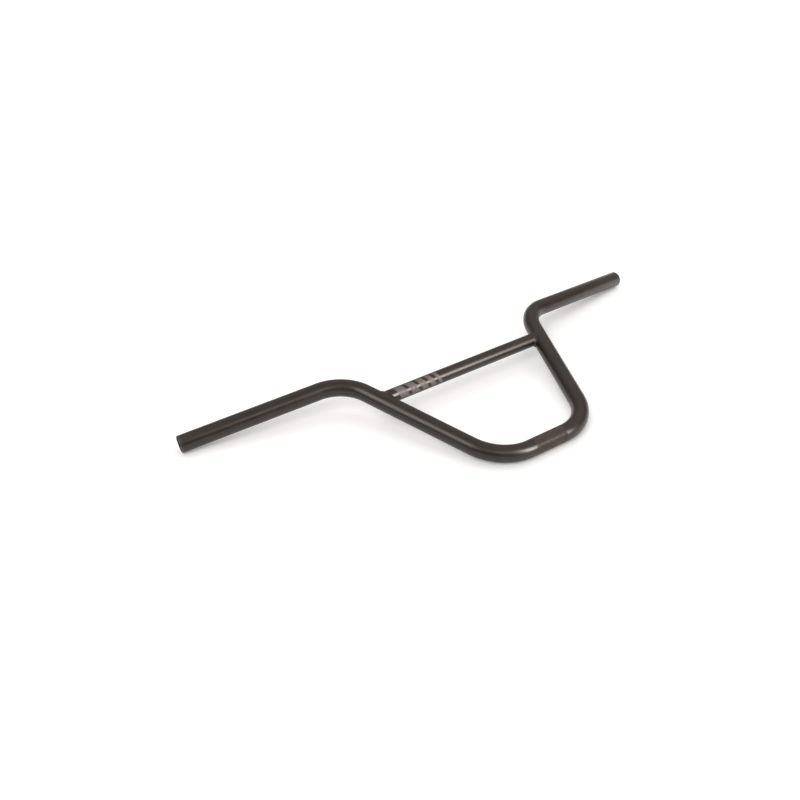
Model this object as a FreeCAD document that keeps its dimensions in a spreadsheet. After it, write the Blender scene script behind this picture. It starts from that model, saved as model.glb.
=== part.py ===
import FreeCAD, Part
import os

# A two-piece high-rise handlebar in millimetres: one bent steel tube and a thinner crossbar that is
# mitred to its risers and welded all round. The bar is built upright in its own frame, with x along
# the clamp section, y up the risers and z towards the side that is seen. The sub-parts are then
# leaned back about the clamp axis until the bar lies on a flat floor on its clamp section and on
# the two grip ends.

os.makedirs("parts", exist_ok=True)
doc = FreeCAD.newDocument("handlebar")
sheet = doc.addObject("Spreadsheet::Sheet", "sizes")

# Sizes that drive the bar, in mm and degrees. The grips' outside diameter is the standard one.
DRIVING = [
    ("tube_od", "22.2", "outside diameter of the bent tube"),
    ("tube_wall", "1.5", "wall of the bent tube"),
    ("bar_width", "737", "width between the centres of the two grip ends"),
    ("corner_out", "71", "clamp centre to the corner where clamp axis and riser axis cross"),
    ("riser_slope", "69.5", "angle of the riser to the clamp axis"),
    ("riser_reach", "234", "lower corner to upper corner, along the riser axis"),
    ("up_sweep", "8", "rise of the grip towards its end"),
    ("back_sweep", "8", "sweep of the grip away from the side that is seen"),
    ("low_bend", "62", "centre-line radius of the two lower bends"),
    ("top_bend", "60", "centre-line radius of the two upper bends"),
    ("end_bevel", "0.4", "bevel on both edges of the cut tube ends"),
    ("cross_step", "4.2", "how much thinner the crossbar is than the bent tube, across"),
    ("cross_wall", "1.2", "wall of the crossbar"),
    ("cross_drop", "21", "start of the upper bend to the crossbar axis, along the riser"),
    ("bead_leg", "3", "leg of the weld bead on each tube"),
    ("vent_dia", "4.5", "vent hole that lets the crossbar breathe into the riser"),
]

# Sizes that follow from them.
DERIVED = [
    ("tube_r", "=tube_od / 2"),
    ("bore_r", "=tube_r - tube_wall"),
    ("low_run", "=low_bend * tan(riser_slope / 2)"),
    ("clamp_half", "=corner_out - low_run"),
    ("grip_ax", "=cos(up_sweep) * cos(back_sweep)"),
    ("grip_ay", "=sin(up_sweep)"),
    ("grip_az", "=-cos(up_sweep) * sin(back_sweep)"),
    ("grip_in", "=cos(riser_slope) * grip_ay - sin(riser_slope) * grip_ax"),
    ("top_turn", "=acos(cos(riser_slope) * grip_ax + sin(riser_slope) * grip_ay)"),
    ("top_roll", "=atan2(grip_az; grip_in)"),
    ("top_run", "=top_bend * tan(top_turn / 2)"),
    ("riser_len", "=riser_reach - low_run - top_run"),
    ("grip_reach", "=(bar_width / 2 - corner_out - riser_reach * cos(riser_slope)) / grip_ax"),
    ("grip_len", "=grip_reach - top_run"),
    ("cross_r", "=tube_r - cross_step / 2"),
    ("cross_y", "=(riser_reach - top_run - cross_drop) * sin(riser_slope)"),
    ("cross_x", "=corner_out + cross_y / tan(riser_slope)"),
    ("tip_y", "=riser_reach * sin(riser_slope) + grip_reach * grip_ay"),
    ("tip_z", "=grip_reach * grip_az"),
    ("tip_dip", "=grip_az * cos(atan2(-tip_z; tip_y)) + grip_ay * sin(atan2(-tip_z; tip_y))"),
    ("tip_gap", "=tube_r * (1 - sqrt(1 - tip_dip ^ 2))"),
    ("lean", "=atan2(-tip_z; tip_y) - asin(tip_gap / sqrt(tip_y ^ 2 + tip_z ^ 2))"),
]

row = 0
for name, value, note in DRIVING:
    row += 1
    sheet.set(f"A{row}", note)
    sheet.set(f"B{row}", value)
    sheet.setAlias(f"B{row}", name)
for name, formula in DERIVED:
    row += 1
    sheet.set(f"A{row}", name)
    sheet.set(f"B{row}", formula)
    sheet.setAlias(f"B{row}", name)
doc.recompute()


def make(kind, name, **bound):
    """Add one document object with its sizes bound to expressions on the sheet."""
    item = doc.addObject(kind, name)
    for prop, expression in bound.items():
        item.setExpression(prop, expression)
    return item


# Each piece of tube runs along its own z axis, with x towards the middle of the next bend. FORWARD
# goes along a straight and rolls about it, BEND seats a bend on the end of a straight, and FROM_LOW
# and FROM_TOP seat a straight on the end of a lower or upper bend.
FORWARD = "placement(vector(0; 0; {}); rotation(vector(0; 0; 1); {}))"
BEND = "placement(vector({}; 0; 0); rotation(vector(0; 1; 1); 180))"
AROUND = "placement(vector(0; 0; 0); rotation(vector(0; 0; 1); {}))"
FROM_LOW = AROUND.format("sizes.riser_slope") + " * " + BEND.format("sizes.low_bend")
FROM_TOP = AROUND.format("sizes.top_turn") + " * " + BEND.format("sizes.top_bend")


def tube_line(name, radius, mouth_small, mouth_big, mouth_start, mouth_len):
    """Make the solid that a disc of this radius sweeps along the whole bar, with cone-shaped ends."""
    clamp = make("Part::Cylinder", f"{name}_clamp", Radius=radius, Height="2 * sizes.clamp_half")
    clamp.setExpression(
        "Placement",
        "placement(vector(-sizes.clamp_half; 0; 0); rotation(vector(1; 1; 1); 120))",
    )
    pieces = [clamp]
    sides = [
        ("right", FORWARD.format("2 * sizes.clamp_half", "0"), "sizes.top_roll"),
        ("left", "placement(vector(0; 0; 0); rotation(vector(1; 0; 0); 180))", "-sizes.top_roll"),
    ]
    for side, start, roll in sides:
        low = make(
            "Part::Torus", f"{name}_{side}_low",
            Radius1="sizes.low_bend", Radius2=radius, Angle3="sizes.riser_slope",
        )
        low.setExpression(
            "Placement",
            f"{clamp.Name}.Placement * {start} * " + BEND.format("sizes.low_bend"),
        )
        riser = make("Part::Cylinder", f"{name}_{side}_riser", Radius=radius, Height="sizes.riser_len")
        riser.setExpression("Placement", f"{low.Name}.Placement * {FROM_LOW}")
        top = make(
            "Part::Torus", f"{name}_{side}_top",
            Radius1="sizes.top_bend", Radius2=radius, Angle3="sizes.top_turn",
        )
        top.setExpression(
            "Placement",
            f"{riser.Name}.Placement * " + FORWARD.format("sizes.riser_len", roll)
            + " * " + BEND.format("sizes.top_bend"),
        )
        grip = make("Part::Cylinder", f"{name}_{side}_grip", Radius=radius, Height=mouth_start)
        grip.setExpression("Placement", f"{top.Name}.Placement * {FROM_TOP}")
        mouth = make(
            "Part::Cone", f"{name}_{side}_mouth",
            Radius1=mouth_small, Radius2=mouth_big, Height=mouth_len,
        )
        mouth.setExpression(
            "Placement",
            f"{grip.Name}.Placement * " + FORWARD.format(mouth_start, "0"),
        )
        pieces += [low, riser, top, grip, mouth]
    whole = doc.addObject("Part::MultiFuse", name)
    whole.Shapes = pieces
    return whole


def cut(name, base, tool):
    """Take one solid out of another."""
    item = doc.addObject("Part::Cut", name)
    item.Base = base
    item.Tool = tool
    return item


# The bent tube: the outside line less the bore. The outside ends in a small bevel, and the bore
# opens into a bevel that runs a little past the cut end.
outside = tube_line(
    "outside", "sizes.tube_r", "sizes.tube_r", "sizes.tube_r - sizes.end_bevel",
    "sizes.grip_len - sizes.end_bevel", "sizes.end_bevel",
)
bore = tube_line(
    "bore", "sizes.bore_r", "sizes.bore_r", "sizes.bore_r + 2 * sizes.end_bevel",
    "sizes.grip_len - sizes.end_bevel", "2 * sizes.end_bevel",
)

# Everything on the crossbar axis: its outside, its hollow and the vent holes, from riser axis to
# riser axis.
ON_CROSS = "placement(vector(-sizes.cross_x; sizes.cross_y; 0); rotation(vector(0; 1; 0); 90))"


def cross_rod(name, radius):
    """Make a rod on the crossbar axis that reaches both riser axes."""
    rod = make("Part::Cylinder", name, Radius=radius, Height="2 * sizes.cross_x")
    rod.setExpression("Placement", ON_CROSS)
    return rod


cross_full = cross_rod("cross_full", "sizes.cross_r")
cross_hollow = cross_rod("cross_hollow", "sizes.cross_r - sizes.cross_wall")
vents = cross_rod("vents", "sizes.vent_dia / 2")

bar_tube = cut("bar_tube", cut("open_tube", outside, bore), vents)
crossbar = cut("crossbar", cut("cross_tube", cross_full, cross_hollow), outside)

# The weld beads: a flat-faced fillet weld in the corner where the crossbar meets the riser, less
# the two tubes it joins.
tubes = doc.addObject("Part::MultiFuse", "tubes")
tubes.Shapes = [outside, cross_full]


def weld(name, side):
    """Make the bead round one end of the crossbar."""
    joint = doc.addObject("Part::MultiFuse", f"{side}_joint")
    joint.Shapes = [doc.getObject(f"outside_{side}_riser"), cross_full]
    doc.recompute()
    leg = float(sheet.get("bead_leg"))
    seam = []
    for number, edge in enumerate(joint.Shape.Edges, 1):
        if isinstance(edge.Curve, Part.BSplineCurve):
            seam.append((number, leg, leg))
    filled = doc.addObject("Part::Chamfer", f"{side}_filled")
    filled.Base = joint
    filled.Edges = seam
    return cut(name, filled, tubes)


left_weld = weld("left_weld", "left")
right_weld = weld("right_weld", "right")

# Lean the finished sub-parts back to the pose in which the bar lies on the floor.
parts = [bar_tube, crossbar, left_weld, right_weld]
for part in parts:
    part.Label = part.Name
    part.setExpression(
        "Placement",
        "placement(vector(0; 0; 0); rotation(vector(1; 0; 0); sizes.lean))",
    )
doc.recompute()

for item in doc.Objects:
    if "Invalid" in item.State or "Error" in item.State:
        raise RuntimeError(f"{item.Name} did not recompute: {item.State}")
    if hasattr(item, "Shape") and (item.Shape.isNull() or not item.Shape.isValid()):
        raise RuntimeError(f"{item.Name} has a null or invalid shape")
for part in parts:
    if len(part.Shape.Solids) != 1:
        raise RuntimeError(f"{part.Name} is {len(part.Shape.Solids)} solids, not one")
    part.Shape.exportStep(f"parts/{part.Label}.step")
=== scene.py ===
from math import acos, asin, atan2, cos, pi, radians, sin, sqrt, tan

import bmesh
import bpy
from mathutils import Matrix, Vector


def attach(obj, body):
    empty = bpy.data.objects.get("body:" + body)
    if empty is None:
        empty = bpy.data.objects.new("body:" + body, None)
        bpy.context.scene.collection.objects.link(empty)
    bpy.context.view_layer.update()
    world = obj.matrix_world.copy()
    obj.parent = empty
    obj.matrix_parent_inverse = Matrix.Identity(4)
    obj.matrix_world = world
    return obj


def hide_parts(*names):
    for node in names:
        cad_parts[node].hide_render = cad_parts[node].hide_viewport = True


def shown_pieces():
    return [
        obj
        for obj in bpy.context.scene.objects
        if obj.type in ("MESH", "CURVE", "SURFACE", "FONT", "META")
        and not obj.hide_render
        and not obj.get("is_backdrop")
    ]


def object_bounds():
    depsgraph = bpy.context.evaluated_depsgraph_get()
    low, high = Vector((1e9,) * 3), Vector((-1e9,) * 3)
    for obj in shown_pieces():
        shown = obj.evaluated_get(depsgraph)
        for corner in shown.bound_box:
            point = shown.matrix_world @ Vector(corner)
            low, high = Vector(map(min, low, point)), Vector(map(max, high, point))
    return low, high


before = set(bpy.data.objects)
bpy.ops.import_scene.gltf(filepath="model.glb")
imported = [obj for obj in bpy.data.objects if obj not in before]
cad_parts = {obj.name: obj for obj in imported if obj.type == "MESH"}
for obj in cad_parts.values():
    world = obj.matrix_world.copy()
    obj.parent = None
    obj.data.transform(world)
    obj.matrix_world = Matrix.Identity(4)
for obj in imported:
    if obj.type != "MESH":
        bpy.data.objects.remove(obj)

bl_info = {
    "name": "High-rise handlebar",
    "version": (1, 0, 0),
    "blender": (4, 5, 0),
    "location": "View3D > Sidebar > Handlebar",
    "description": "Dresses a welded high-rise bicycle handlebar: tubes, welds, knurl and finish",
    "category": "Object",
}

# The packed solids' box, and the floor that they lie on.
CAD_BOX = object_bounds()
FLOOR_HEIGHT = CAD_BOX[0][2]
BODY = "root"
MM = 0.001

# How finely the pieces are drawn: faces round a tube, steps through a bend, stations along the
# crossbar, steps along one ripple of a bead and across it, and steps across a printed bar.
TUBE_SIDES = 64
BEND_STEPS = 32
CROSSBAR_STATIONS = 24
RIPPLE_STEPS = 8
BEAD_STEPS = 10
MARK_STEPS = 24

# How far a bead's root, a diamond's foot and the ink sink into the tube, so that no gap shows.
BEAD_ROOT = 0.5 * MM
KNURL_SINK = 0.06 * MM
MARK_SINK = 0.02 * MM


def linear(code):
    """Turn an sRGB hex colour into the linear colour that shaders take."""
    channels = []
    for start in (0, 2, 4):
        value = int(code[start:start + 2], 16) / 255
        channels.append(value / 12.92 if value <= 0.04045 else ((value + 0.055) / 1.055) ** 2.4)
    return tuple(channels)


def node(tree, kind, inputs=None, **settings):
    """Add one node with its settings, and set or link its inputs."""
    made = tree.nodes.new(kind)
    for key, value in settings.items():
        setattr(made, key, value)
    for key, value in (inputs or {}).items():
        if isinstance(value, bpy.types.NodeSocket):
            tree.links.new(value, made.inputs[key])
        else:
            made.inputs[key].default_value = value
    return made


def length(name, description, millimetres):
    """Describe a length that a user may change, given in millimetres."""
    return bpy.props.FloatProperty(
        name=name, description=description, default=millimetres * MM,
        min=0.0, precision=5, unit="LENGTH",
    )


def angle(name, description, value):
    """Describe an angle that a user may change, given in degrees."""
    return bpy.props.FloatProperty(
        name=name, description=description, default=radians(value), subtype="ANGLE",
    )


def colour(name, description, code):
    """Describe a colour that a user may change, given as an sRGB hex value."""
    return bpy.props.FloatVectorProperty(
        name=name, description=description, default=linear(code),
        size=3, min=0.0, max=1.0, subtype="COLOR",
    )


def strength(name, description, value):
    """Describe a light's strength that a user may change."""
    return bpy.props.FloatProperty(name=name, description=description, default=value, min=0.0)


class BarSizes(bpy.types.PropertyGroup):
    """Sizes of the tubes and the weld beads"""

    # The tubes have the solids' own sizes. The beads' legs are a little shorter than the solids',
    # because their faces bulge.
    tube_diameter: length("Tube diameter", "Outside of the bent tube", 22.2)
    tube_wall: length("Tube wall", "Wall of the bent tube", 1.5)
    bar_width: length("Bar width", "Between the centres of the two grip ends", 737)
    corner_out: length("Corner out", "Clamp centre to the corner of clamp axis and riser axis", 71)
    riser_slope: angle("Riser slope", "Angle of the riser to the clamp axis", 69.5)
    riser_reach: length("Riser reach", "Lower corner to upper corner along the riser axis", 234)
    up_sweep: angle("Up sweep", "Rise of the grip towards its end", 8)
    back_sweep: angle("Back sweep", "Sweep of the grip away from the side that is seen", 8)
    low_bend: length("Lower bend", "Centre-line radius of the two lower bends", 62)
    top_bend: length("Upper bend", "Centre-line radius of the two upper bends", 60)
    end_bevel: length("End bevel", "Bevel on both edges of the cut tube ends", 0.4)
    cross_diameter: length("Crossbar diameter", "Outside of the crossbar", 18)
    cross_wall: length("Crossbar wall", "Wall of the crossbar", 1.2)
    cross_drop: length("Crossbar drop", "Start of the upper bend to the crossbar axis", 21)
    bead_leg: length("Bead leg", "Leg of the weld bead on each tube", 2.6)
    bead_crown: length("Bead crown", "How far the bead's face bulges", 0.3)
    bead_ripples: bpy.props.IntProperty(
        name="Bead ripples", description="Frozen puddles round one weld bead", default=32, min=8,
    )


class KnurlSizes(bpy.types.PropertyGroup):
    """Sizes of the knurled band on the clamp section"""

    band: length("Band length", "Length of the knurled band along the clamp section", 48)
    pitch: length("Pitch", "Diamond to diamond round the tube", 1.6)
    depth: length("Depth", "Foot to top of a diamond", 0.35)
    ramp: length("Ramp", "Length of the step down to the band's ground", 0.5)
    flat: bpy.props.FloatProperty(
        name="Flat", description="Flat top of a diamond, as a share of its foot",
        default=0.28, min=0.0, max=1.0, subtype="FACTOR",
    )


class MarkSizes(bpy.types.PropertyGroup):
    """Sizes of the plain slanted bars printed on the crossbar"""

    start: length("Start", "Bar's middle to the outer end of the print", 110)
    first: length("First bar", "Width of the widest bar, along the tube", 13)
    step: length("Step", "How much narrower each next bar is", 1.9)
    gap: length("Gap", "Bare paint between two bars", 5)
    slant: length("Slant", "How far a bar leans along the tube from edge to edge", 7)
    ink: length("Ink", "Thickness of the printed ink", 0.08)
    count: bpy.props.IntProperty(name="Count", description="Number of bars", default=5, min=1)
    spread: angle("Spread", "How far the print goes round the tube", 112)
    turn: angle("Turn", "Turn of the print's middle from the tube's top to the clamp side", 40)


class BarFinish(bpy.types.PropertyGroup):
    """Colours of the finishes"""

    coat_dark: colour("Coat, dark", "Darker cloud of the powder coat", "1b110c")
    coat_light: colour("Coat, light", "Lighter cloud of the powder coat", "241912")
    # Lighter colour of the knurl's tops: rubbed coat, and a painted sheen for the knurl's broken
    # highlight.
    knurl_wear_and_sheen: colour("Knurl, worn", "Coat on the tops of the knurl", "6a5e57")
    rim: colour("Rim", "Rubbed coat at the cut ends", "4b433f")
    steel: colour("Tube steel", "Bare steel in the bore", "7d7873")
    stain: colour("Steel, stained", "Steel in the bore, browned by heat and oil", "4a3d34")
    ink: colour("Ink", "Printed bars on the crossbar", "635c59")
    floor: colour("Floor", "Studio floor", "f4f1f0")


class Studio(bpy.types.PropertyGroup):
    """Camera and lights"""

    camera_place: bpy.props.FloatVectorProperty(
        name="Camera place", description="Where the camera stands", size=3,
        default=(-0.73999931, -0.71749882, 0.7568437), subtype="XYZ", unit="LENGTH",
    )
    camera_turn: bpy.props.FloatVectorProperty(
        name="Camera turn", description="How the camera is turned", size=3, subtype="EULER",
        default=(radians(55.48850695), radians(-0.25521194), radians(-35.67741885)),
    )
    lens: bpy.props.FloatProperty(
        name="Lens", description="Focal length on a 36 mm wide sensor, in mm",
        default=46.7711, min=1.0,
    )
    sky_low: strength("Walls", "Brightness of the studio walls, seen low in the coat", 0.15)
    sky_back: strength("Back wall", "Brightness of the paler wall at the back right", 0.37)
    sky_high: strength("Ceiling", "Brightness of the white ceiling", 0.87)
    sky_top: strength("Straight above", "Brightness of the darker part straight above", 0.55)
    table: strength("Table", "Brightness of the floor's own even glow", 0.22)
    key: strength("Key light", "Strength of the big soft light at the left, on the bar", 1.5)
    key_spread: angle("Key spread", "How wide the key light looks from the bar", 36)
    floor_key: strength("Floor key", "Strength of the light that lays the floor's shadow", 1.4)
    floor_spread: angle("Floor spread", "How wide that light looks from the floor", 38)
    scrim: strength("Scrim", "Strength of the wide light behind the bar", 0.65)
    scrim_spread: angle("Scrim spread", "How wide the scrim looks from the floor", 70)
    fill: strength("Fill light", "Strength of the small light above the camera, on the bar", 0.25)
    fill_spread: angle("Fill spread", "How wide the fill light looks from the bar", 20)
    strip: bpy.props.FloatProperty(
        name="Strip light", description="Power of the tall strip light at the front right",
        default=116.0, min=0.0, unit="POWER",
    )
    lamp_colour: colour("Lamp colour", "Slightly warm colour of the lights on the bar", "fff4ee")


def centre_line():
    """Work out the corners of the bar's centre line and how far the bar leans, from the sizes."""
    s = bpy.context.scene.bar_sizes
    grip = Vector((
        cos(s.up_sweep) * cos(s.back_sweep),
        sin(s.up_sweep),
        -cos(s.up_sweep) * sin(s.back_sweep),
    ))
    low = Vector((s.corner_out, 0, 0))
    up = Vector((cos(s.riser_slope), sin(s.riser_slope), 0))
    top = low + up * s.riser_reach
    end = top + grip * ((s.bar_width / 2 - top.x) / grip.x)
    top_run = s.top_bend * tan(acos(up.dot(grip)) / 2)
    cross_height = (s.riser_reach - top_run - s.cross_drop) * sin(s.riser_slope)
    # The bar leans back until the clamp section and the lowest edge of each grip end lie level.
    tilt = atan2(-end.z, end.y)
    dip = grip.z * cos(tilt) + grip.y * sin(tilt)
    lift = s.tube_diameter / 2 * (1 - sqrt(1 - dip ** 2))
    lean = tilt - asin(lift / sqrt(end.y ** 2 + end.z ** 2))
    return {
        "low": low, "up": up, "top": top, "end": end,
        "cross_height": cross_height, "lean": Matrix.Rotation(lean, 3, "X"),
    }


def mitre(height, depth):
    """How far from the middle a line along the crossbar meets the riser's skin."""
    s = bpy.context.scene.bar_sizes
    axis = s.corner_out + height / tan(s.riser_slope)
    return axis - sqrt((s.tube_diameter / 2) ** 2 - depth ** 2) / sin(s.riser_slope)


def mirrored(point):
    """Give the same point on the left half."""
    return Vector((-point.x, point.y, point.z))


def new_piece(name, mesh, materials, nodes=(), sharp=35):
    """Make a finished piece of a mesh: smooth, riding on the bar and standing for its solids."""
    mesh.name = name
    # A mesh that nodes have grown brings its own slots, in the same order.
    if not mesh.materials:
        for material in materials:
            mesh.materials.append(material)
    if list(mesh.materials) != materials:
        raise RuntimeError(f"{name} has other materials than it should")
    mesh.shade_smooth()
    mesh.set_sharp_from_angle(angle=radians(sharp))
    piece = bpy.data.objects.new(name, mesh)
    bpy.context.scene.collection.objects.link(piece)
    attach(piece, BODY)
    if nodes:
        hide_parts(*nodes)


def new_tree(name, sizes):
    """Start a node tree with named sizes, and give it with its inputs and its result's socket."""
    tree = bpy.data.node_groups.new(name, "GeometryNodeTree")
    tree.interface.new_socket("Geometry", in_out="INPUT", socket_type="NodeSocketGeometry")
    for size, kind in sizes:
        tree.interface.new_socket(size, in_out="INPUT", socket_type=kind)
    tree.interface.new_socket("Geometry", in_out="OUTPUT", socket_type="NodeSocketGeometry")
    given = node(tree, "NodeGroupInput").outputs
    result = node(tree, "NodeGroupOutput").inputs["Geometry"]
    return tree, given, result


def grown(base, tree, values):
    """Run a node tree on a base mesh with these named inputs, and give the mesh that it makes."""
    holder = bpy.data.objects.new(tree.name, base)
    bpy.context.scene.collection.objects.link(holder)
    grower = holder.modifiers.new(tree.name, "NODES")
    grower.node_group = tree
    for item in tree.interface.items_tree:
        if item.item_type == "SOCKET" and item.in_out == "INPUT" and item.name in values:
            grower[item.identifier] = values[item.name]
    seen = holder.evaluated_get(bpy.context.evaluated_depsgraph_get())
    mesh = bpy.data.meshes.new_from_object(seen)
    holder.modifiers.remove(grower)
    bpy.data.objects.remove(holder)
    if not mesh.polygons:
        raise RuntimeError(f"{tree.name} made no faces")
    # The nodes leave an empty slot before the ones that they fill.
    if mesh.materials and not mesh.materials[0]:
        mesh.materials.pop(index=0)
    return mesh


def ring_mesh(name, rings):
    """Skin a closed row of closed rings of points into one closed shell that faces outwards."""
    bm = bmesh.new()
    rows = [[bm.verts.new(point) for point in ring] for ring in rings]
    for number, row in enumerate(rows):
        following = rows[(number + 1) % len(rows)]
        for place in range(len(row)):
            after = (place + 1) % len(row)
            bm.faces.new((row[place], row[after], following[after], following[place]))
    bmesh.ops.recalc_face_normals(bm, faces=bm.faces)
    mesh = bpy.data.meshes.new(name)
    bm.to_mesh(mesh)
    bm.free()
    return mesh


def new_material(name):
    """Start a material and give it with its node tree, its shader and its place on the object."""
    material = bpy.data.materials.new(name)
    material.use_nodes = True
    tree = material.node_tree
    place = node(tree, "ShaderNodeTexCoord").outputs["Object"]
    return material, tree, tree.nodes["Principled BSDF"], place


def powder_coat():
    """Satin powder coat on steel tube."""
    # Polyester powder, sprayed dry and baked: a warm black skin whose broad satin highlight is
    # broken a little by orange peel, with faint clouds where the film is thicker.
    material = bpy.data.materials.get("satin_powder_coat")
    if material:
        return material
    f = bpy.context.scene.bar_finish
    s = bpy.context.scene.bar_sizes
    material, tree, shader, place = new_material("satin_powder_coat")
    # Clouds of the film, and powder grains that did not flow out. The grains are about 0.3 mm
    # across and are drawn coarser, so that they still show.
    cloud_size = 18 * MM
    grain_size = 0.9 * MM
    cloud = node(tree, "ShaderNodeTexNoise", {
        "Vector": place, "Scale": 1 / cloud_size, "Detail": 3.0,
    })
    grain = node(tree, "ShaderNodeTexNoise", {
        "Vector": place, "Scale": 1 / grain_size, "Detail": 2.0,
    })
    film = node(tree, "ShaderNodeMath", {
        0: cloud.outputs["Fac"], 1: grain.outputs["Fac"],
    }, operation="MULTIPLY")
    # The two noises together hardly leave this range.
    film_low, film_high = 0.12, 0.4
    spread = node(tree, "ShaderNodeMapRange", {
        "Value": film.outputs["Value"], "From Min": film_low, "From Max": film_high,
    })
    tint = node(tree, "ShaderNodeMix", {
        "Factor": spread.outputs["Result"], "A": (*f.coat_dark, 1), "B": (*f.coat_light, 1),
    }, data_type="RGBA")
    # The film draws back from the sharp edges of the cut ends and is rubbed to a dull grey there.
    rub_start = s.bar_width / 2 - 2.5 * MM
    rub_full = s.bar_width / 2 + 2 * MM
    parts = node(tree, "ShaderNodeSeparateXYZ", {"Vector": place})
    out = node(tree, "ShaderNodeMath", {0: parts.outputs["X"]}, operation="ABSOLUTE")
    rim = node(tree, "ShaderNodeMapRange", {
        "Value": out.outputs["Value"], "From Min": rub_start, "From Max": rub_full,
    })
    patchy = node(tree, "ShaderNodeMath", {
        0: rim.outputs["Result"], 1: cloud.outputs["Fac"],
    }, operation="MULTIPLY")
    edged = node(tree, "ShaderNodeMix", {
        "Factor": patchy.outputs["Value"], "A": tint.outputs["Result"], "B": (*f.rim, 1),
    }, data_type="RGBA")
    tree.links.new(edged.outputs["Result"], shader.inputs["Base Color"])
    # Orange peel is about 1 mm across and is drawn coarser, so that it still shows in the render.
    peel_size = 2.2 * MM
    peel_depth = 0.08 * MM
    peel = node(tree, "ShaderNodeTexNoise", {
        "Vector": place, "Scale": 1 / peel_size, "Detail": 2.0,
    })
    bump = node(tree, "ShaderNodeBump", {
        "Height": peel.outputs["Fac"], "Strength": 0.8, "Distance": peel_depth,
    })
    tree.links.new(bump.outputs["Normal"], shader.inputs["Normal"])
    gloss = node(tree, "ShaderNodeMapRange", {
        "Value": film.outputs["Value"], "From Min": film_low, "From Max": film_high,
        "To Min": 0.29, "To Max": 0.37,
    })
    tree.links.new(gloss.outputs["Result"], shader.inputs["Roughness"])
    shader.inputs["IOR"].default_value = 1.5
    return material


def knurl_coat():
    """The same coat on the knurl."""
    # Powder pools between the diamonds and thins on their tops, where clamps rub it: dull grooves
    # and smoother points. The tops are painted lighter, partly as rubbed coat and partly as a
    # painted sheen for the diamonds' broken highlight, and the grooves keep the dark coat as
    # painted shade.
    f = bpy.context.scene.bar_finish
    s = bpy.context.scene.bar_sizes
    k = bpy.context.scene.bar_knurl
    material, tree, shader, place = new_material("knurled_powder_coat")
    # Distance from the clamp axis, from the foot of the diamonds to their tops.
    across = node(tree, "ShaderNodeVectorMath", {0: place, 1: (0, 1, 1)}, operation="MULTIPLY")
    away = node(tree, "ShaderNodeVectorMath", {0: across.outputs["Vector"]}, operation="LENGTH")
    height = node(tree, "ShaderNodeMapRange", {
        "Value": away.outputs["Value"],
        "From Min": s.tube_diameter / 2 - k.depth, "From Max": s.tube_diameter / 2,
    })
    patch_size = 5 * MM
    rubbed = node(tree, "ShaderNodeTexNoise", {
        "Vector": place, "Scale": 1 / patch_size, "Detail": 3.0,
    })
    # Painted sheen and shade: higher points, in rubbed patches, take the lighter colour, and the
    # grooves stay dark.
    wear_and_sheen = node(tree, "ShaderNodeMath", {
        0: height.outputs["Result"], 1: rubbed.outputs["Fac"],
    }, operation="MULTIPLY")
    tint = node(tree, "ShaderNodeMix", {
        "Factor": wear_and_sheen.outputs["Value"], "A": (*f.coat_dark, 1), "B": (*f.knurl_wear_and_sheen, 1),
    }, data_type="RGBA")
    tree.links.new(tint.outputs["Result"], shader.inputs["Base Color"])
    gloss = node(tree, "ShaderNodeMapRange", {
        "Value": wear_and_sheen.outputs["Value"], "From Max": 0.7, "To Min": 0.46, "To Max": 0.34,
    })
    tree.links.new(gloss.outputs["Result"], shader.inputs["Roughness"])
    shader.inputs["IOR"].default_value = 1.5
    return material


def bore_steel():
    """Bare drawn steel inside the tube."""
    # Cold-drawn tube inside: dull grey metal, browned by heat and oil, and dusted dark with powder
    # near the open mouth.
    f = bpy.context.scene.bar_finish
    s = bpy.context.scene.bar_sizes
    material, tree, shader, place = new_material("drawn_steel_bore")
    stain_size = 9 * MM
    stain = node(tree, "ShaderNodeTexNoise", {
        "Vector": place, "Scale": 1 / stain_size, "Detail": 4.0,
    })
    metal = node(tree, "ShaderNodeMix", {
        "Factor": stain.outputs["Fac"], "A": (*f.steel, 1), "B": (*f.stain, 1),
    }, data_type="RGBA")
    # Overspray starts about this far in, and is thickest just inside the mouth.
    dust_start = s.bar_width / 2 - 25 * MM
    dust_full = s.bar_width / 2 - 2 * MM
    along = node(tree, "ShaderNodeSeparateXYZ", {"Vector": place})
    side = node(tree, "ShaderNodeMath", {0: along.outputs["X"]}, operation="ABSOLUTE")
    dust = node(tree, "ShaderNodeMapRange", {
        "Value": side.outputs["Value"], "From Min": dust_start, "From Max": dust_full,
        "To Max": 0.9,
    })
    tint = node(tree, "ShaderNodeMix", {
        "Factor": dust.outputs["Result"], "A": metal.outputs["Result"], "B": (*f.coat_dark, 1),
    }, data_type="RGBA")
    tree.links.new(tint.outputs["Result"], shader.inputs["Base Color"])
    bare = node(tree, "ShaderNodeMath", {0: 1.0, 1: dust.outputs["Result"]}, operation="SUBTRACT")
    tree.links.new(bare.outputs["Value"], shader.inputs["Metallic"])
    gloss = node(tree, "ShaderNodeMapRange", {
        "Value": stain.outputs["Fac"], "From Min": 0.3, "From Max": 0.7,
        "To Min": 0.45, "To Max": 0.65,
    })
    tree.links.new(gloss.outputs["Result"], shader.inputs["Roughness"])
    return material


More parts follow.
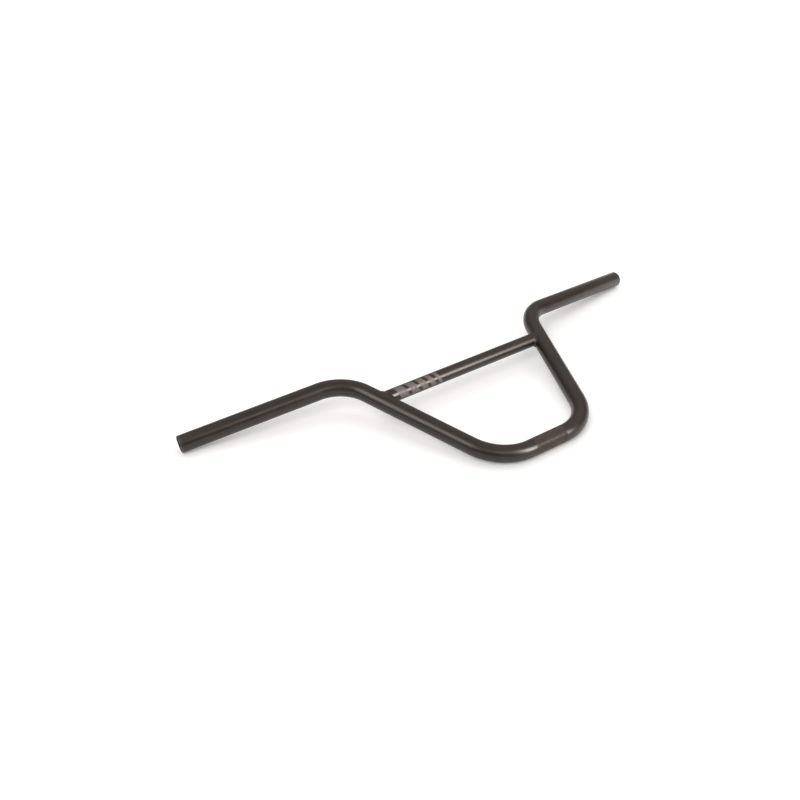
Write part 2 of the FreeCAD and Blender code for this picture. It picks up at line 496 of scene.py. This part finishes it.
def screen_ink():
    """Pale ink printed on the coat."""
    # Screen-printed ink: a thin flat grey film, slightly uneven in cover, duller than the coat.
    f = bpy.context.scene.bar_finish
    material, tree, shader, place = new_material("screen_printed_ink")
    fleck_size = 1.5 * MM
    cover = node(tree, "ShaderNodeTexNoise", {
        "Vector": place, "Scale": 1 / fleck_size, "Detail": 4.0,
    })
    worn = node(tree, "ShaderNodeMapRange", {
        "Value": cover.outputs["Fac"], "From Min": 0.35, "From Max": 0.7, "To Max": 0.6,
    })
    tint = node(tree, "ShaderNodeMix", {
        "Factor": worn.outputs["Result"], "A": (*f.ink, 1), "B": (*f.coat_light, 1),
    }, data_type="RGBA")
    tree.links.new(tint.outputs["Result"], shader.inputs["Base Color"])
    gloss = node(tree, "ShaderNodeMapRange", {
        "Value": cover.outputs["Fac"], "From Min": 0.3, "From Max": 0.7,
        "To Min": 0.45, "To Max": 0.55,
    })
    tree.links.new(gloss.outputs["Result"], shader.inputs["Roughness"])
    return material


def white_paper():
    """Seamless paper of the studio floor."""
    # Uncoated white paper off a roll: matte, with a faint tooth, and an even glow of its own.
    material, tree, shader, place = new_material("white_paper_sweep")
    # The tooth of paper is finer than 1 mm and is drawn far coarser, so that it still shows.
    tooth_size = 40 * MM
    tooth = node(tree, "ShaderNodeTexNoise", {
        "Vector": place, "Scale": 1 / tooth_size, "Detail": 2.0,
    })
    gloss = node(tree, "ShaderNodeMapRange", {
        "Value": tooth.outputs["Fac"], "From Min": 0.3, "From Max": 0.7,
        "To Min": 0.85, "To Max": 0.95,
    })
    tree.links.new(gloss.outputs["Result"], shader.inputs["Roughness"])
    shader.inputs["Base Color"].default_value = (*bpy.context.scene.bar_finish.floor, 1)
    shader.inputs["Specular IOR Level"].default_value = 0.2
    shader.inputs["Emission Color"].default_value = (1, 1, 1, 1)
    shader.inputs["Emission Strength"].default_value = bpy.context.scene.bar_studio.table
    return material


def bar_line():
    """Lay the bar's centre line, with the bend radius and the tube's girth at each corner."""
    s = bpy.context.scene.bar_sizes
    k = bpy.context.scene.bar_knurl
    line = centre_line()
    # The tube is thinner under the knurl, so that the diamonds' tops have its own diameter.
    ground = 1 - k.depth / (s.tube_diameter / 2)
    # Corners of the right half from the middle out: place, bend radius there and girth.
    half = [
        (Vector((k.band / 2, 0, 0)), 0.0, ground),
        (Vector((k.band / 2 + k.ramp, 0, 0)), 0.0, 1.0),
        (line["low"], s.low_bend, 1.0),
        (line["top"], s.top_bend, 1.0),
        (line["end"], 0.0, 1.0),
    ]
    corners = [(mirrored(place), bend, girth) for place, bend, girth in reversed(half)] + half
    places, bends, girths = zip(*corners)
    base = bpy.data.meshes.new("bar_line")
    base.from_pydata(
        [line["lean"] @ place for place in places],
        [(number, number + 1) for number in range(len(places) - 1)], [],
    )
    base.attributes.new("bend", "FLOAT", "POINT").data.foreach_set("value", bends)
    base.attributes.new("girth", "FLOAT", "POINT").data.foreach_set("value", girths)
    return base


def bent_tube_nodes():
    """Build the tree that rounds a line's corners and draws a tube with an open bore along it."""
    tree, given, result = new_tree("bent_tube_nodes", [
        ("Radius", "NodeSocketFloat"), ("Wall", "NodeSocketFloat"),
        ("Steps", "NodeSocketInt"), ("Sides", "NodeSocketInt"),
        ("Coat", "NodeSocketMaterial"), ("Bore", "NodeSocketMaterial"),
    ])
    bend = node(tree, "GeometryNodeInputNamedAttribute", {"Name": "bend"}, data_type="FLOAT")
    girth = node(tree, "GeometryNodeInputNamedAttribute", {"Name": "girth"}, data_type="FLOAT")
    route = node(tree, "GeometryNodeMeshToCurve", {"Mesh": given["Geometry"]})
    bent = node(tree, "GeometryNodeFilletCurve", {
        "Curve": route.outputs["Curve"], "Count": given["Steps"],
        "Radius": bend.outputs["Attribute"],
    }, mode="POLY")
    skin = node(tree, "GeometryNodeCurvePrimitiveCircle", {
        "Resolution": given["Sides"], "Radius": given["Radius"],
    })
    outside = node(tree, "GeometryNodeCurveToMesh", {
        "Curve": bent.outputs["Curve"], "Profile Curve": skin.outputs["Curve"],
        "Scale": girth.outputs["Attribute"],
    })
    # The bore keeps one diameter all along, and its faces look inwards.
    inner = node(tree, "ShaderNodeMath", {
        0: given["Radius"], 1: given["Wall"],
    }, operation="SUBTRACT")
    hole = node(tree, "GeometryNodeCurvePrimitiveCircle", {
        "Resolution": given["Sides"], "Radius": inner.outputs["Value"],
    })
    bore = node(tree, "GeometryNodeCurveToMesh", {
        "Curve": bent.outputs["Curve"], "Profile Curve": hole.outputs["Curve"],
    })
    turned = node(tree, "GeometryNodeFlipFaces", {"Mesh": bore.outputs["Mesh"]})
    marked = node(tree, "GeometryNodeStoreNamedAttribute", {
        "Geometry": turned.outputs["Mesh"], "Name": "in_bore", "Value": True,
    }, data_type="BOOLEAN", domain="FACE")
    both = node(tree, "GeometryNodeJoinGeometry", {"Geometry": outside.outputs["Mesh"]})
    tree.links.new(marked.outputs["Geometry"], both.inputs["Geometry"])
    plain = node(tree, "GeometryNodeRealizeInstances", {"Geometry": both.outputs["Geometry"]})
    coated = node(tree, "GeometryNodeSetMaterial", {
        "Geometry": plain.outputs["Geometry"], "Material": given["Coat"],
    })
    in_bore = node(tree, "GeometryNodeInputNamedAttribute", {
        "Name": "in_bore",
    }, data_type="BOOLEAN")
    bared = node(tree, "GeometryNodeSetMaterial", {
        "Geometry": coated.outputs["Geometry"], "Selection": in_bore.outputs["Attribute"],
        "Material": given["Bore"],
    })
    tree.links.new(bared.outputs["Geometry"], result)
    return tree


def close_ends(mesh):
    """Close each cut end with a flat ring from the skin to the bore, and bevel both its edges."""
    s = bpy.context.scene.bar_sizes
    bm = bmesh.new()
    bm.from_mesh(mesh)
    for side in (-1, 1):
        edges = [e for e in bm.edges if e.is_boundary and e.verts[0].co.x * side > 0]
        made = bmesh.ops.bridge_loops(bm, edges=edges)
        # The ring has the coat, which is in the first slot.
        for face in made["faces"]:
            face.material_index = 0
        bmesh.ops.bevel(
            bm, geom=edges, offset=s.end_bevel, offset_type="OFFSET", segments=2, profile=0.5,
            affect="EDGES", material=-1,
        )
    if any(e.is_boundary for e in bm.edges):
        raise RuntimeError("The bent tube is left open")
    bm.to_mesh(mesh)
    bm.free()


class HANDLEBAR_OT_bent_tube(bpy.types.Operator):
    """Bend the main tube along its centre line, with an open bore"""

    bl_idname = "handlebar.bent_tube"
    bl_label = "Bent tube"

    def execute(self, context):
        s = context.scene.bar_sizes
        coat = powder_coat()
        steel = bore_steel()
        mesh = grown(bar_line(), bent_tube_nodes(), {
            "Radius": s.tube_diameter / 2, "Wall": s.tube_wall,
            "Steps": BEND_STEPS, "Sides": TUBE_SIDES, "Coat": coat, "Bore": steel,
        })
        close_ends(mesh)
        new_piece("bent_tube", mesh, [coat, steel], ["bar_tube"], sharp=30)
        return {"FINISHED"}


def crossbar_ring(line, share, radius):
    """Points round the crossbar, from the left mitre at a share of -1 to the right one at 1."""
    points = []
    for number in range(TUBE_SIDES):
        turn = 2 * pi * number / TUBE_SIDES
        height = line["cross_height"] + radius * cos(turn)
        depth = radius * sin(turn)
        points.append(line["lean"] @ Vector((share * mitre(height, depth), height, depth)))
    return points


class HANDLEBAR_OT_crossbar_tube(bpy.types.Operator):
    """Mitre the crossbar between the two risers"""

    bl_idname = "handlebar.crossbar_tube"
    bl_label = "Crossbar"

    def execute(self, context):
        s = context.scene.bar_sizes
        line = centre_line()
        radius = s.cross_diameter / 2
        shares = [-1 + 2 * number / CROSSBAR_STATIONS for number in range(CROSSBAR_STATIONS + 1)]
        # Out along the skin and back along the hollow.
        rings = [crossbar_ring(line, share, radius) for share in shares]
        rings += [crossbar_ring(line, share, radius - s.cross_wall) for share in reversed(shares)]
        mesh = ring_mesh("crossbar_tube", rings)
        new_piece("crossbar_tube", mesh, [powder_coat()], ["crossbar"])
        return {"FINISHED"}


def seam(line, turn):
    """A point of the right joint's corner, and the outward directions of both tubes there."""
    cross = bpy.context.scene.bar_sizes.cross_diameter / 2
    height = line["cross_height"] + cross * cos(turn)
    depth = cross * sin(turn)
    point = Vector((mitre(height, depth), height, depth))
    off = point - line["low"]
    from_riser = (off - line["up"] * off.dot(line["up"])).normalized()
    return point, Vector((0, cos(turn), sin(turn))), from_riser


def bead_ring(line, turn, ripple):
    """Points round the right bead's section at this turn, with its place among the ripples."""
    s = bpy.context.scene.bar_sizes
    point, from_cross, from_riser = seam(line, turn)
    nudge = 0.01
    along = (seam(line, turn + nudge)[0] - seam(line, turn - nudge)[0]).normalized()
    # A hand-laid bead is never quite even: these waves go round it.
    leg = s.bead_leg * (1 + 0.07 * sin(3 * turn + 1) + 0.05 * sin(5 * turn))
    crown = s.bead_crown * (1 + 0.12 * sin(4 * turn + 2))
    # One toe lies on the crossbar, and the other is laid back on the riser's round skin.
    toe_cross = point - Vector((leg, 0, 0))
    climb = along.cross(from_riser)
    if climb.dot(from_cross) < 0:
        climb.negate()
    reached = point + climb * leg
    foot = line["low"] + line["up"] * (reached - line["low"]).dot(line["up"])
    toe_riser = foot + (reached - foot).normalized() * (s.tube_diameter / 2)
    # Each puddle is a crescent that overlaps the one before. Its edges lag this share of a ripple
    # behind its middle, and this sets how far its dome falls towards the next.
    lag = 0.4
    fall = 0.85
    # The bead's even body and what the domes add to it, as shares of the crown.
    body = 0.3
    rise = 0.9
    out = (from_cross + from_riser).normalized()
    ring = []
    for step in range(BEAD_STEPS + 1):
        share = -1 + 2 * step / BEAD_STEPS
        puddle = (ripple + lag * share ** 2) % 1
        dome = sqrt(1 - fall * (2 * puddle - 1) ** 2)
        bulge = crown * (1 - share ** 2) * (body + rise * dome)
        ring.append(toe_cross.lerp(toe_riser, (1 + share) / 2) + out * bulge)
    ring.append(point - out * BEAD_ROOT)
    return [line["lean"] @ place for place in ring]


class HANDLEBAR_OT_weld_beads(bpy.types.Operator):
    """Lay a rippled weld bead round each end of the crossbar"""

    bl_idname = "handlebar.weld_beads"
    bl_label = "Weld beads"

    def execute(self, context):
        ripples = context.scene.bar_sizes.bead_ripples
        samples = ripples * RIPPLE_STEPS
        line = centre_line()
        right = [
            bead_ring(line, 2 * pi * number / samples, ripples * number / samples)
            for number in range(samples)
        ]
        left = [[mirrored(place) for place in ring] for ring in right]
        for side, rings in (("right", right), ("left", left)):
            name = f"{side}_weld_bead"
            mesh = ring_mesh(name, rings)
            new_piece(name, mesh, [powder_coat()], [f"{side}_weld"], sharp=50)
        return {"FINISHED"}


def clamp_knurl_nodes():
    """Build the tree that sets two fields of diamonds round the clamp axis."""
    tree, given, result = new_tree("clamp_knurl_nodes", [
        ("Foot Radius", "NodeSocketFloat"), ("Height", "NodeSocketFloat"),
        ("Flat", "NodeSocketFloat"), ("Band", "NodeSocketFloat"),
        ("Pitch Along", "NodeSocketFloat"), ("Pitch Around", "NodeSocketFloat"),
        ("Turn Span", "NodeSocketFloat"), ("Turn Shift", "NodeSocketFloat"),
        ("Rows", "NodeSocketInt"), ("Around", "NodeSocketInt"), ("Coat", "NodeSocketMaterial"),
    ])
    # A flat field of diamond places, rows along the tube and turns round it in radians, with a
    # second field set half a pitch over.
    run = node(tree, "ShaderNodeMath", {
        0: given["Band"], 1: given["Pitch Along"],
    }, operation="SUBTRACT")
    field = node(tree, "GeometryNodeMeshGrid", {
        "Size X": run.outputs["Value"], "Size Y": given["Turn Span"],
        "Vertices X": given["Rows"], "Vertices Y": given["Around"],
    })
    half_along = node(tree, "ShaderNodeMath", {
        0: given["Pitch Along"], 1: 0.5,
    }, operation="MULTIPLY")
    shift = node(tree, "ShaderNodeCombineXYZ", {
        "X": half_along.outputs["Value"], "Y": given["Turn Shift"],
    })
    second = node(tree, "GeometryNodeTransform", {
        "Geometry": field.outputs["Mesh"], "Translation": shift.outputs["Vector"],
    })
    fields = node(tree, "GeometryNodeJoinGeometry", {"Geometry": field.outputs["Mesh"]})
    tree.links.new(second.outputs["Geometry"], fields.inputs["Geometry"])
    # Roll the fields round the clamp axis.
    where = node(tree, "GeometryNodeInputPosition")
    parts = node(tree, "ShaderNodeSeparateXYZ", {"Vector": where.outputs["Position"]})
    up = node(tree, "ShaderNodeMath", {0: parts.outputs["Y"]}, operation="COSINE")
    over = node(tree, "ShaderNodeMath", {0: parts.outputs["Y"]}, operation="SINE")
    out = node(tree, "ShaderNodeCombineXYZ", {
        "Y": up.outputs["Value"], "Z": over.outputs["Value"],
    })
    lifted = node(tree, "ShaderNodeVectorMath", {
        0: out.outputs["Vector"], "Scale": given["Foot Radius"],
    }, operation="SCALE")
    only_x = node(tree, "ShaderNodeCombineXYZ", {"X": parts.outputs["X"]})
    rolled = node(tree, "ShaderNodeVectorMath", {
        0: lifted.outputs["Vector"], 1: only_x.outputs["Vector"],
    }, operation="ADD")
    ring = node(tree, "GeometryNodeSetPosition", {
        "Geometry": fields.outputs["Geometry"], "Position": rolled.outputs["Vector"],
    })
    # One diamond, a four-sided point with a small flat top, stood outwards.
    point = node(tree, "GeometryNodeMeshCone", {
        "Vertices": 4, "Side Segments": 1, "Fill Segments": 1,
        "Radius Top": given["Flat"], "Radius Bottom": 1.0, "Depth": 1.0,
    }, fill_type="NGON")
    outward = node(tree, "ShaderNodeVectorMath", {
        0: where.outputs["Position"], 1: (0, 1, 1),
    }, operation="MULTIPLY")
    stand = node(tree, "FunctionNodeAlignRotationToVector", {
        "Vector": outward.outputs["Vector"],
    }, axis="Z", pivot_axis="X")
    half_around = node(tree, "ShaderNodeMath", {
        0: given["Pitch Around"], 1: 0.5,
    }, operation="MULTIPLY")
    size = node(tree, "ShaderNodeCombineXYZ", {
        "X": half_along.outputs["Value"], "Y": half_around.outputs["Value"],
        "Z": given["Height"],
    })
    diamonds = node(tree, "GeometryNodeInstanceOnPoints", {
        "Points": ring.outputs["Geometry"], "Instance": point.outputs["Mesh"],
        "Rotation": stand.outputs["Rotation"], "Scale": size.outputs["Vector"],
    })
    plain = node(tree, "GeometryNodeRealizeInstances", {
        "Geometry": diamonds.outputs["Instances"],
    })
    coated = node(tree, "GeometryNodeSetMaterial", {
        "Geometry": plain.outputs["Geometry"], "Material": given["Coat"],
    })
    tree.links.new(coated.outputs["Geometry"], result)
    return tree


class HANDLEBAR_OT_clamp_knurl(bpy.types.Operator):
    """Set the diamonds of the knurl on the clamp section"""

    bl_idname = "handlebar.clamp_knurl"
    bl_label = "Clamp knurl"

    def execute(self, context):
        k = context.scene.bar_knurl
        radius = context.scene.bar_sizes.tube_diameter / 2
        around = round(2 * pi * radius / k.pitch)
        rows = round(k.band / k.pitch)
        coat = knurl_coat()
        mesh = grown(bpy.data.meshes.new("knurl_seed"), clamp_knurl_nodes(), {
            "Foot Radius": radius - k.depth - KNURL_SINK, "Height": k.depth + KNURL_SINK,
            "Flat": k.flat, "Band": k.band,
            "Pitch Along": k.band / (rows + 0.5), "Pitch Around": 2 * pi * radius / around,
            "Turn Span": 2 * pi * (around - 1) / around, "Turn Shift": pi / around,
            "Rows": rows, "Around": around, "Coat": coat,
        })
        new_piece("clamp_knurl", mesh, [coat], sharp=20)
        return {"FINISHED"}


def print_bar(bm, line, edge, width):
    """Add one slanted bar of ink to a mesh, from this edge along the crossbar."""
    m = bpy.context.scene.bar_marks
    radius = bpy.context.scene.bar_sizes.cross_diameter / 2
    # The four corners of the ink's section: along the tube and up from its foot.
    section = ((0, 0.0), (width, 0.0), (width, m.ink), (0, m.ink))
    rows = []
    for step in range(MARK_STEPS + 1):
        share = step / MARK_STEPS - 0.5
        turn = m.turn + m.spread * share
        lean = m.slant * share
        row = []
        for along, size in section:
            away = radius + size - MARK_SINK
            place = Vector((
                edge + along + lean, line["cross_height"] - away * sin(turn), away * cos(turn),
            ))
            row.append(bm.verts.new(line["lean"] @ place))
        rows.append(row)
    for row, following in zip(rows, rows[1:]):
        for place in range(len(section)):
            after = (place + 1) % len(section)
            bm.faces.new((row[place], row[after], following[after], following[place]))
    bm.faces.new(rows[0])
    bm.faces.new(rows[-1])


class HANDLEBAR_OT_crossbar_marks(bpy.types.Operator):
    """Print plain slanted bars on the crossbar"""

    bl_idname = "handlebar.crossbar_marks"
    bl_label = "Crossbar marks"

    def execute(self, context):
        m = context.scene.bar_marks
        line = centre_line()
        bm = bmesh.new()
        edge = -m.start
        for number in range(m.count):
            width = m.first - m.step * number
            print_bar(bm, line, edge, width)
            edge += width + m.gap
        bmesh.ops.recalc_face_normals(bm, faces=bm.faces)
        mesh = bpy.data.meshes.new("crossbar_marks")
        bm.to_mesh(mesh)
        bm.free()
        new_piece("crossbar_marks", mesh, [screen_ink()])
        return {"FINISHED"}


def towards(bearing, height):
    """Direction from the bar to a place at this bearing and height in degrees."""
    flat = cos(radians(height))
    return Vector((
        cos(radians(bearing)) * flat, sin(radians(bearing)) * flat, sin(radians(height)),
    ))


def paper_floor():
    """Lay the round paper floor under the bar."""
    floor_radius = 12
    floor_sides = 96
    bm = bmesh.new()
    bmesh.ops.create_circle(bm, cap_ends=True, segments=floor_sides, radius=floor_radius)
    bmesh.ops.translate(bm, vec=(0, 0, FLOOR_HEIGHT), verts=bm.verts)
    mesh = bpy.data.meshes.new("paper_floor")
    bm.to_mesh(mesh)
    bm.free()
    mesh.materials.append(white_paper())
    floor = bpy.data.objects.new("paper_floor", mesh)
    bpy.context.scene.collection.objects.link(floor)
    floor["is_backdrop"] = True
    return floor


def studio_room():
    """Put dim walls, paler at the back right, and a white ceiling round the bar."""
    studio = bpy.context.scene.bar_studio
    world = bpy.data.worlds.new("studio_walls")
    world.use_nodes = True
    tree = world.node_tree
    look = node(tree, "ShaderNodeTexCoord").outputs["Generated"]
    way = node(tree, "ShaderNodeSeparateXYZ", {"Vector": look})
    # The walls grow paler towards the back right.
    back = node(tree, "ShaderNodeVectorMath", {
        0: look, 1: towards(60, 0),
    }, operation="DOT_PRODUCT")
    walls = node(tree, "ShaderNodeMapRange", {
        "Value": back.outputs["Value"], "From Min": 0.1, "From Max": 0.7,
        "To Min": studio.sky_low, "To Max": studio.sky_back,
    }, interpolation_type="SMOOTHSTEP")
    # They go over into the ceiling, which is darker straight above.
    room = node(tree, "ShaderNodeMapRange", {
        "Value": way.outputs["Z"], "From Min": 0.35, "From Max": 0.85,
        "To Min": walls.outputs["Result"], "To Max": studio.sky_high,
    }, interpolation_type="SMOOTHSTEP")
    above = node(tree, "ShaderNodeMapRange", {
        "Value": way.outputs["Z"], "From Min": 0.8, "From Max": 0.97,
    }, interpolation_type="SMOOTHSTEP")
    roof = node(tree, "ShaderNodeMix", {
        "Factor": above.outputs["Result"], "A": room.outputs["Result"], "B": studio.sky_top,
    })
    # The camera itself sees white past the floor's edge.
    seen_white = 1.1
    seen = node(tree, "ShaderNodeLightPath").outputs["Is Camera Ray"]
    glow = node(tree, "ShaderNodeMix", {
        "Factor": seen, "A": roof.outputs["Result"], "B": seen_white,
    })
    background = tree.nodes["Background"]
    background.inputs["Color"].default_value = (1, 1, 1, 1)
    tree.links.new(glow.outputs["Result"], background.inputs["Strength"])
    bpy.context.scene.world = world


def hang_light(lamp, away, receivers):
    """Hang a light that shines from this direction on these objects alone, and give its object."""
    light = bpy.data.objects.new(lamp.name, lamp)
    light.rotation_euler = (-away).to_track_quat("-Z", "Y").to_euler()
    light.light_linking.receiver_collection = receivers
    bpy.context.scene.collection.objects.link(light)
    return light


def studio_lights(floor):
    """Light the bar and the floor, each with lights of its own."""
    studio = bpy.context.scene.bar_studio
    lit_bar = bpy.data.collections.new("lit_bar")
    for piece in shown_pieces():
        lit_bar.objects.link(piece)
    lit_floor = bpy.data.collections.new("lit_floor")
    lit_floor.objects.link(floor)

    # The big soft key stands at the left and draws the broad line down the left riser, and a small
    # fill above the camera catches the bends. Both are flagged off the floor, which has a light of
    # its own at the left, for the soft shadow at the lower right of each tube, and a wide scrim
    # behind the bar, for the darker floor in front of it.
    suns = [
        ("key_light", towards(168, 39), studio.key, studio.key_spread, lit_bar),
        ("fill_light", towards(252, 46), studio.fill, studio.fill_spread, lit_bar),
        ("floor_key", towards(210, 48), studio.floor_key, studio.floor_spread, lit_floor),
        ("scrim", towards(60, 60), studio.scrim, studio.scrim_spread, lit_floor),
    ]
    for name, away, power, spread, receivers in suns:
        sun = bpy.data.lights.new(name, "SUN")
        sun.energy = power
        sun.angle = spread
        if receivers is lit_bar:
            sun.color = studio.lamp_colour
        hang_light(sun, away, receivers)

    # A tall strip at the front right draws the bright line along the crossbar and the lower bends.
    # It is flagged off the floor.
    strip_width = 0.75
    strip_height = 1.5
    strip_distance = 3
    bar_middle = Vector((0, 0.13, 0))
    away = towards(298, 30)
    lamp = bpy.data.lights.new("strip_light", "AREA")
    lamp.shape = "RECTANGLE"
    lamp.size = strip_width
    lamp.size_y = strip_height
    lamp.energy = studio.strip
    lamp.color = studio.lamp_colour
    strip = hang_light(lamp, away, lit_bar)
    strip.location = bar_middle + away * strip_distance


def photo_camera():
    """Stand the camera where the photo was taken from."""
    scene = bpy.context.scene
    view = bpy.data.cameras.new("photo_camera")
    view.sensor_width = 36
    view.lens = scene.bar_studio.lens
    view.clip_start = 0.01
    camera = bpy.data.objects.new("photo_camera", view)
    camera.location = scene.bar_studio.camera_place
    camera.rotation_euler = scene.bar_studio.camera_turn
    scene.collection.objects.link(camera)
    scene.camera = camera
    # A plain photographic response, so that the paper comes out white.
    scene.view_settings.view_transform = "Standard"


class HANDLEBAR_OT_stage(bpy.types.Operator):
    """Set up the pale floor, the soft lights and the camera"""

    bl_idname = "handlebar.stage"
    bl_label = "Stage"

    def execute(self, context):
        floor = paper_floor()
        studio_room()
        studio_lights(floor)
        photo_camera()
        return {"FINISHED"}


class HANDLEBAR_PT_sidebar(bpy.types.Panel):
    """The handlebar's pieces and stage"""

    bl_idname = "HANDLEBAR_PT_sidebar"
    bl_label = "Handlebar"
    bl_space_type = "VIEW_3D"
    bl_region_type = "UI"
    bl_category = "Handlebar"

    def draw(self, context):
        column = self.layout.column()
        for operator in OPERATORS:
            column.operator(operator.bl_idname)
        for name, group in GROUPS.items():
            column.label(text=group.__doc__)
            for size in group.__annotations__:
                column.prop(getattr(context.scene, name), size)


GROUPS = {
    "bar_sizes": BarSizes,
    "bar_knurl": KnurlSizes,
    "bar_marks": MarkSizes,
    "bar_finish": BarFinish,
    "bar_studio": Studio,
}
OPERATORS = (
    HANDLEBAR_OT_bent_tube,
    HANDLEBAR_OT_crossbar_tube,
    HANDLEBAR_OT_weld_beads,
    HANDLEBAR_OT_clamp_knurl,
    HANDLEBAR_OT_crossbar_marks,
    HANDLEBAR_OT_stage,
)


def register():
    for name, group in GROUPS.items():
        bpy.utils.register_class(group)
        setattr(bpy.types.Scene, name, bpy.props.PointerProperty(type=group))
    for kind in (*OPERATORS, HANDLEBAR_PT_sidebar):
        bpy.utils.register_class(kind)


def unregister():
    for kind in (HANDLEBAR_PT_sidebar, *reversed(OPERATORS)):
        bpy.utils.unregister_class(kind)
    for name, group in reversed(GROUPS.items()):
        delattr(bpy.types.Scene, name)
        bpy.utils.unregister_class(group)


def main():
    """Make every piece and the stage."""
    register()
    bpy.ops.handlebar.bent_tube()
    bpy.ops.handlebar.crossbar_tube()
    bpy.ops.handlebar.weld_beads()
    bpy.ops.handlebar.clamp_knurl()
    bpy.ops.handlebar.crossbar_marks()
    bpy.ops.handlebar.stage()


if __name__ == "__main__":
    main()
